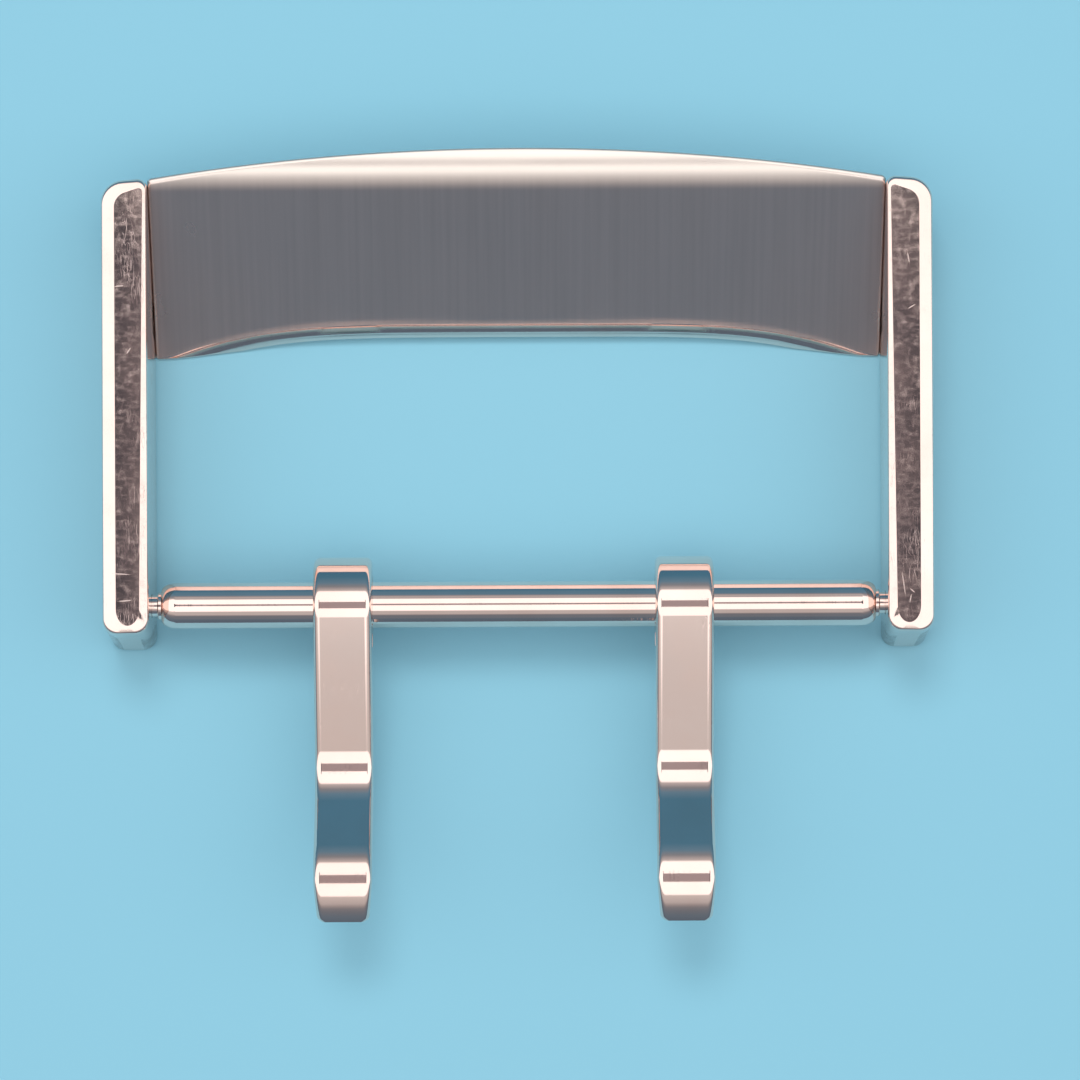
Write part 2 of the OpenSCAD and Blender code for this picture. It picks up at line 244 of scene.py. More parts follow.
def polished_gold(name, scratch_depth, roughness, wear, along=300, marks=0.0):
    """The hairlines' scale along themselves is along; marks is how dull specks are, if any."""
    material, shader, place = new_finish(name, ROSE_GOLD, roughness)
    patches = noise(material, place, PATCH_SCALE, detail=4)
    worn = remap(material, patches, PATCH_TINT_LEVELS, (0, 1))
    link(material, tint(material, worn, ROSE_GOLD, ROSE_GOLD_DULL), shader.inputs["Base Color"])
    dull = remap(material, patches, PATCH_DULL_LEVELS, (roughness, roughness + wear))
    if marks:
        for scale, turn, edge in SPECKS:
            speck = noise(material, place, scale, detail=6, turn=(0, 0, radians(turn)))
            speck = remap(material, speck, (edge, edge + SPECK_FADE), (0, marks))
            dull = combine(material, dull, speck, "ADD")
        for one in SCRATCHES:
            deeper = combine(material, scratch(material, place, *one), SCRATCH_ROUGHNESS)
            dull = combine(material, dull, deeper, "MAXIMUM")
    link(material, dull, shader.inputs["Roughness"])
    scratches, *more = [hairlines(material, place, along, across, turn)
                        for turn, across in HAIRLINES]
    for lines in more:
        scratches = combine(material, scratches, lines, "ADD")
    places = noise(material, place, WAVE_SCALE, detail=3)
    scratches = combine(material, scratches, remap(material, places, HAIRLINE_LEVELS, (0, 1)))
    waves = noise(material, place, WAVE_SCALE, detail=2)
    height = combine(material, scratches, combine(material, waves, WAVE_SHARE), "SUBTRACT")
    relief(material, shader, height, -scratch_depth)
    return material


polished = polished_gold("polished_rose_gold", scratch_depth=0.0000004, roughness=0.05, wear=0.04)
rubbed = polished_gold("rubbed_rose_gold", scratch_depth=0.0000003, roughness=0.05, wear=0.05,
                       along=1200, marks=0.07)
print("finishes:", polished.name, rubbed.name)

# %% [markdown]
# The bridge's back is satin: it was drawn over an abrasive belt, so very fine lines run from the
# crest down to the lip. Such lines spread a reflection sideways and hardly at all along
# themselves. The shader has that as anisotropy: its tangent follows the U direction of the
# bridge's own UV map, which is laid across the lines. A little relief adds the coarser lines.

# %% Satin rose gold
SATIN_MAP = "across_the_brushing"
SATIN_DARK = (0.80, 0.66, 0.61)
SATIN_LIGHT = (0.86, 0.71, 0.66)
SATIN_ROUGHNESS = (0.25, 0.33)
# The face turns into the crest between these two places; pairs are values before and after
CREST_ZONE = (13.5, 14.1)
# Painted highlight: over the crest the satin's colour is lightened towards white, where the white
# light overhead shows
CREST_PAINTED_HIGHLIGHT = (0.97, 0.86, 0.78)
CREST_ROUGHER = (0, 0.04)
ANISOTROPY = (0.8, 0.3)
# Noise scales count per metre
LINE_SCALE = (6000, 110, 110)
LINE_LEVELS = (0.3, 0.7)
CLOUD_SCALE = (420, 300, 300)
LINE_DEPTH = 0.0000006


def satin_gold(name):
    material, shader, place = new_finish(name, ROSE_GOLD, roughness=0.3)
    across = material.node_tree.nodes.new("ShaderNodeTangent")
    across.direction_type = "UV_MAP"
    across.uv_map = SATIN_MAP
    link(material, across.outputs["Tangent"], shader.inputs["Tangent"])
    parts = material.node_tree.nodes.new("ShaderNodeSeparateXYZ")
    link(material, place, parts.inputs["Vector"])
    zone = [bar_y + y * MM for y in CREST_ZONE]

    def to_crest(values):
        """From the first value on the face to the second on the crest."""
        return remap(material, parts.outputs["Y"], zone, values)

    lines = noise(material, place, LINE_SCALE, detail=2)
    face = tint(material, remap(material, lines, LINE_LEVELS, (0, 1)), SATIN_DARK, SATIN_LIGHT)
    # Over the crest the colour turns into the painted highlight
    color = tint(material, to_crest((0, 1)), face, CREST_PAINTED_HIGHLIGHT)
    link(material, color, shader.inputs["Base Color"])
    link(material, to_crest(ANISOTROPY), shader.inputs["Anisotropic"])
    clouds = noise(material, place, CLOUD_SCALE, detail=2)
    dull = remap(material, clouds, (0, 1), SATIN_ROUGHNESS)
    dull = combine(material, dull, to_crest(CREST_ROUGHER), "ADD")
    link(material, dull, shader.inputs["Roughness"])
    relief(material, shader, lines, LINE_DEPTH)
    return material


satin = satin_gold("satin_rose_gold")
print("finish:", satin.name)

# %% [markdown]
# The arms are two straight rails. Seen from the back each is a long flat with a wide bevel on
# its outer side and a narrow one on its inner side; the flat ends in half an oval near the bar
# and in a rounded, slanting end near the bridge. An outline with rounded corners is made twice,
# once where the bevel starts and once round the flat. A ring of points is swept from the front
# face up the wall, round the edge and over the bevel to the flat. The front face leans out at
# the bar's end and sweeps up at the bridge's end.

# %% Sizes of the frame
# FLAT_TAIL_GAP keeps the flat's two quarter ovals at the tail from meeting in one point
HALF_STRAP = 12.0
ARM_W = 1.5
ARM_REACH = 13.9
ARM_TAIL = 0.9
TAIL_LEAN = 0.6
BEVEL_H = 0.055
EDGE_ROUND = 0.13
OUTER_BEVEL = 0.44
INNER_BEVEL_BRIDGE = 0.14
INNER_BEVEL_TAIL = 0.3
END_BEVEL = 0.28
CORNER_R = 0.75
INNER_CORNER_R = 0.3
END_SLOPE = 0.12
FLAT_END_SLOPE = 0.3
FLAT_TAIL_R = 0.55
FLAT_TAIL_GAP = 0.002
FLAT_CORNER_R = 0.5
FLAT_INNER_CORNER_R = 0.12
TAIL_CORNER_R = 0.45
LIP_FRONT_Y = 8.581
FRONT_R = 9.4
FRONT_CUTS = 14
FRONT_EDGE_BEVEL = 0.12
PIN_HOLE_R = 0.39
PIN_HOLE_DEPTH = 0.95


def front_z(y):
    """Height of the front face over the table: it sweeps up under the bridge."""
    return FRONT_R - sqrt(FRONT_R ** 2 - (y - LIP_FRONT_Y) ** 2) if y > LIP_FRONT_Y else 0.0


print("the front face rises to", round(front_z(ARM_REACH), 3), "mm at the arms' ends")

# %% Rows of points and a ring that is extruded along them
def spread(start, end, steps):
    return [start + (end - start) * i / steps for i in range(steps + 1)]


def sweep(bm, rows):
    """Extrude one closed ring of edges through all the rows; gives the rings of vertices."""
    rings = [[bm.verts.new(place) for place in rows[0]]]
    edges = [bm.edges.new(pair) for pair in zip(rings[0], rings[0][1:] + rings[0][:1])]
    for places in rows[1:]:
        made = bmesh.ops.extrude_edge_only(bm, edges=edges)["geom"]
        fresh = {g for g in made if isinstance(g, bmesh.types.BMVert)}
        ring = [next(e.other_vert(v) for e in v.link_edges if e.other_vert(v) in fresh)
                for v in rings[-1]]
        for vert, place in zip(ring, places):
            vert.co = place
        edges = [bm.edges.get(pair) for pair in zip(ring, ring[1:] + ring[:1])]
        rings.append(ring)
    return rings


# %% An outline with its own radii at each corner, and a rounded edge above it
# The rounding takes at most this share of the way to the flat
ROUND_AT_MOST = 0.95


def arm_outline(corners, radii, z, steps=8):
    """Points from the tail's inner corner round to the bridge's; radii count along x and y."""
    slope = atan2(corners[3][1] - corners[2][1], corners[2][0] - corners[3][0])
    turns = ((pi, 1.5 * pi), (1.5 * pi, 2 * pi), (0, pi / 2 - slope), (pi / 2 - slope, pi))
    lifts = (-1, -1, (1 - sin(slope)) / cos(slope), (1 + sin(slope)) / cos(slope))
    points = []
    for (x, y), (rx, ry), turn, lift, inwards in zip(corners, radii, turns, lifts, (1, -1, -1, 1)):
        middle = (x + inwards * rx, y - ry * lift)
        points += [Vector((middle[0] + rx * cos(t), middle[1] + ry * sin(t), z))
                   for t in spread(*turn, steps)]
    return points


def rounded_edge(corner, inner, length, steps=6):
    """Points from the wall round the edge at corner onto the line to inner."""
    down, along = Vector((0, 0, -1)), (inner - corner).normalized()
    length = min(length, (inner - corner).length * ROUND_AT_MOST)
    half = down.angle(along) / 2
    middle = corner + (down + along).normalized() * (length / cos(half))
    first, last = ((corner + length * way - middle).normalized() for way in (down, along))
    outs = [first.slerp(last, t) for t in spread(0, 1, steps)]
    return [middle + out * (length * tan(half)) for out in outs] + [inner]


# %% Drill a round hole into a flat wall
# The square's half side in hole radii, cuts in each of its sides, and the inset in half sides
HOLE_SQUARE = 1.4
HOLE_CUTS = 9
HOLE_INSET = 0.2


def with_borders(faces):
    """The faces, then each of their edges and corners once."""
    return faces + list({part: None for f in faces for part in (*f.edges, *f.verts)})


def drill(bm, wall_x, y, z, radius, depth):
    """Cuts a square out of the wall, turns it into a circle with many corners and pushes it in."""
    half = radius * HOLE_SQUARE
    middle = Vector((wall_x, y, z))

    def wall():
        return [f for f in bm.faces if all(abs(v.co.x - wall_x) < NEAR for v in f.verts)]

    def middle_face():
        return min(wall(), key=lambda f: (f.calc_center_median() - middle).length)

    for co, no in (((0, y - half, 0), (0, 1, 0)), ((0, y + half, 0), (0, 1, 0)),
                   ((0, 0, z - half), (0, 0, 1)), ((0, 0, z + half), (0, 0, 1))):
        bmesh.ops.bisect_plane(bm, geom=with_borders(wall()), plane_co=co, plane_no=no, dist=1e-5)
    bmesh.ops.subdivide_edges(bm, edges=middle_face().edges[:], cuts=HOLE_CUTS)
    patch = middle_face()
    bmesh.ops.inset_individual(bm, faces=[patch], thickness=half * HOLE_INSET)
    for vert in patch.verts:
        turn = atan2(vert.co.z - z, vert.co.y - y)
        vert.co.y, vert.co.z = y + radius * cos(turn), z + radius * sin(turn)
    deep = bmesh.ops.extrude_discrete_faces(bm, faces=[patch])["faces"][0]
    bmesh.ops.translate(bm, vec=(depth, 0, 0), verts=deep.verts[:])


# %% Model one arm on the right, then mirror it for the left
# Edges that turn by more than this many radians get a bevel
SHARP = 0.8


def bevel_edges(bm, edges, offset, segments):
    bmesh.ops.bevel(bm, geom=edges, offset=offset, offset_type="OFFSET", affect="EDGES",
                    segments=segments, profile=0.5, material=-1, clamp_overlap=True)


def arm_mesh(side):
    bm = bmesh.new()
    x0, x1, top = HALF_STRAP, HALF_STRAP + ARM_W, FRAME_H
    edge = arm_outline([(x0, -ARM_TAIL), (x1, -ARM_TAIL),
                        (x1, ARM_REACH - END_SLOPE), (x0, ARM_REACH)],
                       [(r, r) for r in (TAIL_CORNER_R, TAIL_CORNER_R, CORNER_R, INNER_CORNER_R)],
                       top - BEVEL_H)
    tail_r = (ARM_W - INNER_BEVEL_TAIL - OUTER_BEVEL) / 2 - FLAT_TAIL_GAP
    low, high = -ARM_TAIL + END_BEVEL, ARM_REACH - END_BEVEL
    flat = arm_outline([(x0 + INNER_BEVEL_TAIL, low), (x1 - OUTER_BEVEL, low),
                        (x1 - OUTER_BEVEL, high - FLAT_END_SLOPE), (x0 + INNER_BEVEL_BRIDGE, high)],
                       [(tail_r, FLAT_TAIL_R), (tail_r, FLAT_TAIL_R),
                        (FLAT_CORNER_R, FLAT_CORNER_R),
                        (FLAT_INNER_CORNER_R, FLAT_INNER_CORNER_R)], top)
    feet = [Vector((p.x, p.y - TAIL_LEAN if p.y < 0 else p.y, 0)) for p in edge]
    rings = sweep(bm, list(zip(*([foot] + rounded_edge(corner, inner, EDGE_ROUND)
                                 for foot, corner, inner in zip(feet, edge, flat)))))
    bm.faces.new(rings[-1])
    bm.faces.new(rings[0])
    for y in spread(LIP_FRONT_Y, ARM_REACH, FRONT_CUTS)[:-1]:
        lowest = [f for f in bm.faces if min(v.co.z for v in f.verts) < NEAR]
        bmesh.ops.bisect_plane(bm, geom=with_borders(lowest), plane_co=(0, y, 0),
                               plane_no=(0, 1, 0), dist=NEAR)
    for vert in bm.verts:
        if vert.co.z < NEAR:
            vert.co.z = front_z(vert.co.y)
    bmesh.ops.recalc_face_normals(bm, faces=bm.faces[:])
    drill(bm, x0, 0, bar_z, PIN_HOLE_R, PIN_HOLE_DEPTH)
    # The sharp edges round the front face
    front = [e for e in bm.edges if len(e.link_faces) == 2 and e.calc_face_angle(0) > SHARP
             and all(abs(v.co.z - front_z(v.co.y)) < 1e-3 for v in e.verts)]
    bevel_edges(bm, front, FRONT_EDGE_BEVEL, segments=3)
    for vert in bm.verts:
        vert.co.x, vert.co.z = min(max(vert.co.x, x0), x1), max(vert.co.z, 0)
    if side < 0:
        bmesh.ops.scale(bm, vec=(-1, 1, 1), verts=bm.verts[:])
        bmesh.ops.reverse_faces(bm, faces=bm.faces[:])
    return bm


for side, name, node in ((-1, "left_arm_polished", "left_arm"),
                         (1, "right_arm_polished", "right_arm")):
    make_piece(name, arm_mesh(side), "frame", node, [rubbed], crisp_z=FRAME_H)

# %% [markdown]
# The bridge is a slanting plate between the arms. Its back is satin, with a painted highlight over
# the crest where its colour is lightened; its lip is polished, and its front sweeps up to a thin
# outer edge that bows outwards. It is drawn as one closed section at the left arm, which is
# extruded step by step to the right arm;
# each new section is settled onto the two bows, so the crest stays straight while the outer wall
# and the lip curve.

# %% Sizes of the bridge
OUTER_BOW = 0.95
BRIDGE_W = 5.54
FACE_SLOPE = radians(33)
CREST_R = 1.5
CREST_TURN = radians(15)
BLEND_R = 2.2
CREST_INSET = 0.38
CREST_DROP = 0.15
LIP_R = 3.2
LIP_TURN = radians(50)
LIP_EDGE_Z = 0.09
LIP_CORNER_R = 0.07
LIP_LOWEST_Y = 8.17
RIM_R = 0.22
RIM_WALL_R = 0.06
RIM_TURN = radians(25)
LIP_START = 0.24
LIP_START_BOW = 1.55
LIP_START_POWER = 4.8
SEAM_R = 0.13
BURNISHED_PART = 0.4
OUTER_EDGE_BEVEL = 0.07

outer_mid_y = ARM_REACH + OUTER_BOW
outer_r = (HALF_STRAP ** 2 + OUTER_BOW ** 2) / (2 * OUTER_BOW)
crest = Vector((outer_mid_y - CREST_INSET, FRAME_H - CREST_DROP - CREST_R))
lip_y = outer_mid_y - BRIDGE_W


def leaning(angle):
    """Upwards in the section's (y, z), leaning towards the lip by angle."""
    return Vector((-sin(angle), cos(angle)))


crest_end = crest + CREST_R * leaning(CREST_TURN)
blend = crest_end - BLEND_R * leaning(CREST_TURN)
fold = blend + BLEND_R * leaning(FACE_SLOPE)
print("fold at", [round(v, 3) for v in fold], "lip starts at y =", round(lip_y, 3))


# %% The bridge's closed section
# Steps from the rim over the crest, the face, the satin edge and the lip to its corner and front
RIM_STEPS, CREST_STEPS, FACE_STEPS, EDGE_STEPS = 12, 24, 4, 4
LIP_STEPS, CORNER_STEPS, FRONT_STEPS = 12, 5, 24
SATIN_STEPS = RIM_STEPS + CREST_STEPS + FACE_STEPS + EDGE_STEPS


def back_z(y):
    """Height of the back surface at y."""
    if y > crest_end.x:
        return crest.y + sqrt(CREST_R ** 2 - (y - crest.x) ** 2)
    if y > fold.x:
        return blend.y + sqrt(BLEND_R ** 2 - (y - blend.x) ** 2)
    return fold.y - (fold.x - y) * tan(FACE_SLOPE)


def lean_at(y):
    """How far the back surface leans towards the lip at y."""
    if y > crest_end.x:
        return asin((crest.x - y) / CREST_R)
    return asin((blend.x - y) / BLEND_R) if y > fold.x else FACE_SLOPE


def bridge_section(x):
    """Points of the closed section at x: rim, crest, face, satin edge, polished lip, front."""
    wall = outer_mid_y - outer_r + sqrt(outer_r ** 2 - x ** 2)
    lip = lip_y + LIP_START - LIP_START_BOW * abs(x / HALF_STRAP) ** LIP_START_POWER
    lip = max(lip, LIP_LOWEST_Y)
    rim_y = wall - RIM_WALL_R - (RIM_R - RIM_WALL_R) * sin(RIM_TURN)
    lean = asin((crest.x - rim_y) / (CREST_R - RIM_R))
    centre = crest + (CREST_R - RIM_R) * leaning(lean)
    if lean > CREST_TURN:
        lean = asin((blend.x - rim_y) / (BLEND_R - RIM_R))
        centre = blend + (BLEND_R - RIM_R) * leaning(lean)
    corner = centre + (RIM_R - RIM_WALL_R) * leaning(-RIM_TURN)
    half = RIM_STEPS // 2
    turns = spread(-pi / 2, -RIM_TURN, half)[:-1]
    points = [(corner + RIM_WALL_R * leaning(turn), turn) for turn in turns]
    turns = spread(-RIM_TURN, lean, half)[:-1]
    points += [(centre + RIM_R * leaning(turn), turn) for turn in turns]
    start = (centre + RIM_R * leaning(lean)).x
    back = spread(start, fold.x, CREST_STEPS)[:-1] + spread(fold.x, lip, FACE_STEPS)[:-1]
    points += [(Vector((y, back_z(y))), lean_at(y)) for y in back]
    drop = min(LIP_R * (cos(FACE_SLOPE) - cos(LIP_TURN)), back_z(lip) - LIP_EDGE_Z)
    last = acos(cos(FACE_SLOPE) - drop / LIP_R)
    middle = Vector((lip, back_z(lip))) - LIP_R * leaning(FACE_SLOPE)
    burnished = FACE_SLOPE + (last - FACE_SLOPE) * BURNISHED_PART
    turns = spread(FACE_SLOPE, burnished, EDGE_STEPS)[:-1]
    turns += spread(burnished, last, LIP_STEPS)[:-1]
    points += [(middle + LIP_R * leaning(turn), turn) for turn in turns]
    middle += (LIP_R - LIP_CORNER_R) * leaning(last)
    points += [(middle + LIP_CORNER_R * leaning(turn), turn)
               for turn in spread(last, pi / 2, CORNER_STEPS)]
    near_arm = max(0, abs(x) - HALF_STRAP + SEAM_R)
    sunk = SEAM_R - sqrt(SEAM_R ** 2 - near_arm ** 2)
    points = [point - sunk * leaning(turn) for point, turn in points]
    points = [(point.x, max(point.y, 0)) for point in points]
    fronts = spread(points[-1][0], wall - sunk, FRONT_STEPS)[1:]
    return points + [(y, front_z(y)) for y in fronts]


# %% Extrude the section from arm to arm
def bridge_mesh(steps=44, end_steps=5):
    bm = bmesh.new()
    ends = [HALF_STRAP - SEAM_R * (1 - sin(pi / 2 * i / end_steps))
            for i in range(end_steps, -1, -1)]
    flat = ends[-1]
    columns = [-x for x in ends]
    columns += [flat * (2 * i / steps - 1) for i in range(1, steps)] + ends[::-1]
    rings = sweep(bm, [[(x, y, z) for y, z in bridge_section(x)] for x in columns])
    for ring, following in zip(rings, rings[1:]):
        for k in range(SATIN_STEPS):
            bm.faces.get((ring[k], ring[k + 1], following[k + 1], following[k])).material_index = 1
    bmesh.ops.holes_fill(bm, edges=[e for e in bm.edges if e.is_boundary], sides=0)
    bmesh.ops.recalc_face_normals(bm, faces=bm.faces[:])
    # The outer wall's sharp edges, without those at the arms
    outer = [e for e in bm.edges if e.calc_face_angle(0) > SHARP
             and all(v.co.y > ARM_REACH - 0.2 and abs(v.co.x) < HALF_STRAP - 0.01
                     for v in e.verts)]
    bevel_edges(bm, outer, OUTER_EDGE_BEVEL, segments=4)
    across = bm.loops.layers.uv.new(SATIN_MAP)
    for face in bm.faces:
        for loop in face.loops:
            loop[across].uv = loop.vert.co.xy
    return bm


make_piece("bridge_satin", bridge_mesh(), "frame", "bridge", [polished, satin],
           sharp=40)

# %% [markdown]
# The spring bar's barrel and its two pins are turned parts, so each is a half outline spun
# round the bar's axis. The barrel's mouths are rolled in over the pins' heads, which leaves a
# soft shoulder at each end.

# %% Sizes of the spring bar and a lathe
BARREL_HALF = 11.8
BARREL_R = 0.75
SHOULDER_R = 0.5
SHOULDER_DROP = 0.27
COLLAR_LEN = 0.12
COLLAR_R = 0.45
COLLAR_EDGE = 0.03
BORE_R = 0.51
MOUTH_R = 0.39
MOUTH_LEN = 0.45
PIN_R = 0.35
HEAD_R = 0.48
HEAD_X = 11.32
HEAD_LEN = 1.2
PIN_TIP_X = 12.8
PIN_CHAMFER = 0.12


def turned(outline, closed, steps=64):
    """Spins an outline of (x, radius) points round the bar's axis."""
    bm = bmesh.new()
    verts = [bm.verts.new((x, r, 0)) for x, r in outline]
    for a, b in zip(verts, verts[1:]):
        bm.edges.new((a, b))
    if closed:
        bm.edges.new((verts[-1], verts[0]))
    bmesh.ops.spin(bm, geom=bm.verts[:] + bm.edges[:], cent=(0, 0, 0), axis=(1, 0, 0),
                   angle=2 * pi, steps=steps, use_merge=True)
    bmesh.ops.remove_doubles(bm, verts=bm.verts[:], dist=NEAR)
    bmesh.ops.translate(bm, vec=(0, 0, bar_z), verts=bm.verts[:])
    return bm


def shoulder(end, steps=10):
    """The rolled corner of one barrel end, from the straight outside to the flat mouth."""
    x, r = BARREL_HALF - COLLAR_LEN - SHOULDER_R, BARREL_R - SHOULDER_DROP
    turns = [radians(90 - 90 * i / steps) for i in range(steps + 1)]
    points = [(end * (x + SHOULDER_R * cos(t)), r + SHOULDER_DROP * sin(t)) for t in turns]
    return points + [(end * (BARREL_HALF - COLLAR_LEN), COLLAR_R),
                     (end * (BARREL_HALF - COLLAR_EDGE), COLLAR_R),
                     (end * BARREL_HALF, COLLAR_R - COLLAR_EDGE)]


# %% Spin the barrel and the pins
inner = BARREL_HALF - MOUTH_LEN
barrel_outline = (shoulder(-1)[::-1] + shoulder(1)
                  + [(BARREL_HALF, MOUTH_R), (inner, MOUTH_R), (inner, BORE_R),
                     (-inner, BORE_R), (-inner, MOUTH_R), (-BARREL_HALF, MOUTH_R)])
barrel = turned(barrel_outline, closed=True)
make_piece("bar_barrel_polished", barrel, "bar", "bar_barrel", [polished])

for side, name, node, body in ((-1, "left_pivot_pin_turned", "left_pivot_pin", "pin_left"),
                               (1, "right_pivot_pin_turned", "right_pivot_pin", "pin_right")):
    pin_outline = [(HEAD_X - HEAD_LEN, 0), (HEAD_X - HEAD_LEN, HEAD_R), (HEAD_X, HEAD_R),
                   (HEAD_X, PIN_R), (PIN_TIP_X - PIN_CHAMFER, PIN_R),
                   (PIN_TIP_X, PIN_R - PIN_CHAMFER), (PIN_TIP_X, 0)]
    pin = turned([(side * x, r) for x, r in pin_outline], closed=False)
    make_piece(name, pin, body, node, [polished])

# %% [markdown]
# Each tongue is a strip that is wrapped once round the bar and then bent twice: down into a
# valley and up into a hook. The strip's outer line is drawn first: its arcs come from the
# bending radii, and straight stretches join them. A rounded section is then swept along the
# line, so the rims stay even round every bend, and it narrows at the tip.

# %% Sizes of a tongue
TONGUE_W = 1.9
TONGUE_T = 0.76
EYE_IN = 0.80
EYE_OUT = EYE_IN + TONGUE_T
EYE_SLIT = 0.12
EYE_STEPS, VALLEY_STEPS, PEAK_STEPS = 56, 20, 24
SHANK_SLOPE = radians(14.5)
RISE_SLOPE = radians(37)
VALLEY_R = 1.9
PEAK_R = 2.012
PEAK_TO_LIP = 0.35
VALLEY_TO_PEAK = 3.74
PEAK_TO_TIP = 1.34
TIP_TAPER = 0.1
TIP_CORNER_R = 0.2
TIP_CORNER_DEGREES = (0, 10, 20, 30, 40)
TIP_EDGE_R = 0.05
STRIP_EDGE_R = 0.2
# Loops this far from the rounded edges keep the flats between them flat
HOLD = 0.03

PEAK_U = lip_y - PEAK_TO_LIP
VALLEY_U = PEAK_U - VALLEY_TO_PEAK
shank_run = VALLEY_U - (VALLEY_R + EYE_OUT) * sin(SHANK_SLOPE)
valley_v = (EYE_OUT * cos(SHANK_SLOPE) - shank_run * tan(SHANK_SLOPE)
            - VALLEY_R * (1 - cos(SHANK_SLOPE)))
rise_run = PEAK_U - VALLEY_U - (VALLEY_R + PEAK_R) * sin(RISE_SLOPE)
peak_v = valley_v + (VALLEY_R + PEAK_R) * (1 - cos(RISE_SLOPE)) + rise_run * tan(RISE_SLOPE)
print("valley", round(valley_v, 3), "peak", round(peak_v, 3), "above the bar's axis")


def bend(centre, radius, turns, side):
    """Points of the strip's outer line on one bend, each with the direction out of the strip."""
    outs = [Vector((cos(turn), sin(turn))) for turn in turns]
    return [(Vector(centre) + radius * out, side * out) for out in outs]


def strip_section(half, inset=0.0, steps=6):
    """A rounded rectangle of (x, depth below the outer line), with loops beside each corner."""
    points = []
    reach = STRIP_EDGE_R - inset
    for quarter, x, deep in ((0, 1, 1), (1, -1, 1), (2, -1, 0), (3, 1, 0)):
        middle = Vector((x * (half - STRIP_EDGE_R),
                         TONGUE_T - STRIP_EDGE_R if deep else STRIP_EDGE_R))
        outs = [Vector((cos(turn), sin(turn))) for turn in
                spread(quarter * pi / 2, (quarter + 1) * pi / 2, steps)]
        points.append(middle + reach * outs[0] - HOLD * outs[-1])
        points += [middle + reach * out for out in outs]
        points.append(middle + reach * outs[-1] - HOLD * outs[0])
    return points


# %% Wrap and bend the strip
def tongue_rows():
    """Rows from the eye to the tip: point, direction out of the strip, half width, inset."""
    quarter = pi / 2
    slit_end = asin((EYE_IN - EYE_SLIT) / EYE_OUT) - SHANK_SLOPE
    rows = bend((0, 0), EYE_OUT, spread(slit_end, -3 * quarter - SHANK_SLOPE, EYE_STEPS), 1)
    rows += bend((VALLEY_U, valley_v + VALLEY_R), VALLEY_R,
                 spread(3 * quarter - SHANK_SLOPE, 3 * quarter + RISE_SLOPE, VALLEY_STEPS), -1)
    tip = quarter - asin(PEAK_TO_TIP / PEAK_R)
    lengths = [TIP_CORNER_R * (1 - sin(radians(t))) for t in TIP_CORNER_DEGREES] + [TIP_EDGE_R, 0]
    turns = spread(quarter + RISE_SLOPE, tip + TIP_CORNER_R / PEAK_R, PEAK_STEPS)[:-1]
    turns += [tip + length / PEAK_R for length in lengths]
    rows += bend((PEAK_U, peak_v - PEAK_R), PEAK_R, turns, 1)
    halves = [TONGUE_W / 2 - TIP_TAPER * max(0, row[0].x - PEAK_U) / PEAK_TO_TIP for row in rows]
    for i, length in enumerate(lengths):
        along = TIP_CORNER_R - max(length, TIP_EDGE_R)
        halves[i - len(lengths)] -= TIP_CORNER_R - sqrt(TIP_CORNER_R ** 2 - along ** 2)
    insets = [0.0] * (len(rows) - 1) + [TIP_EDGE_R]
    return [(*row, half, inset) for row, half, inset in zip(rows, halves, insets)]


def tongue_mesh(middle_x):
    bm = bmesh.new()
    sweep(bm, [[(x, -(point - depth * out).x, bar_z + (point - depth * out).y)
                for x, depth in strip_section(half, inset)]
               for point, out, half, inset in tongue_rows()])
    bmesh.ops.remove_doubles(bm, verts=bm.verts[:], dist=MERGE)
    bmesh.ops.holes_fill(bm, edges=[e for e in bm.edges if e.is_boundary], sides=0)
    bmesh.ops.translate(bm, vec=(middle_x, 0, 0), verts=bm.verts[:])
    return bm


for name, node, body, x in (("left_tongue_bent", "left_tongue", "tongue_left", left_x),
                            ("right_tongue_bent", "right_tongue", "tongue_right", right_x)):
    make_piece(name, tongue_mesh(x), body, node, [polished])

# %% [markdown]
# The coil spring lies hidden in the barrel. Its solid has the right shape, so it stays and only
# gets the look of drawn steel wire.

# %% Drawn spring wire
STEEL = (0.62, 0.62, 0.63)
WIRE_SCALE = (6000, 900, 900)
WIRE_ROUGHNESS = (0.2, 0.4)
wire, wire_shader, wire_place = new_finish("drawn_spring_wire", STEEL, roughness=0.28)
wire_lines = remap(wire, noise(wire, wire_place, WIRE_SCALE), LINE_LEVELS, WIRE_ROUGHNESS)
link(wire, wire_lines, wire_shader.inputs["Roughness"])
spring = frame["nodes"]["bar_spring"]
spring.data.materials.clear()
spring.data.materials.append(wire)
print("bar_spring keeps its solid and gets", wire.name)

# %% [markdown]
# Polished metal is a picture of the room, so the room is part of the look. Straight above is a
# wide white light. Towards the bridge's side it falls off to grey and then to deep blue, and on
# the other side to a duller blue grey, as the photograph's cloth and room do. Below lies the
# table, and a soft lamp lights it.

# %% The table
TABLE_HALF = 0.6
TABLE_GAP = 0.00002
TABLE_BLUE = (0.27, 0.56, 0.69, 1)
floor_bm = bmesh.new()
bmesh.ops.create_grid(floor_bm, x_segments=1, y_segments=1, size=TABLE_HALF)
floor_mesh = bpy.data.meshes.new("table")
floor_bm.to_mesh(floor_mesh)
floor_bm.free()
floor = bpy.data.objects.new("table", floor_mesh)
bpy.context.scene.collection.objects.link(floor)
floor.location.z = -TABLE_GAP
cloth = bpy.data.materials.new("pale_table")
cloth.use_nodes = True
cloth_shader = cloth.node_tree.nodes["Principled BSDF"]
cloth_shader.inputs["Base Color"].default_value = TABLE_BLUE
cloth_shader.inputs["Roughness"].default_value = 0.9
cloth_shader.inputs["Specular IOR Level"].default_value = 0.1
floor_mesh.materials.append(cloth)
print("the table lies", TABLE_GAP / MM, "mm under the frame")

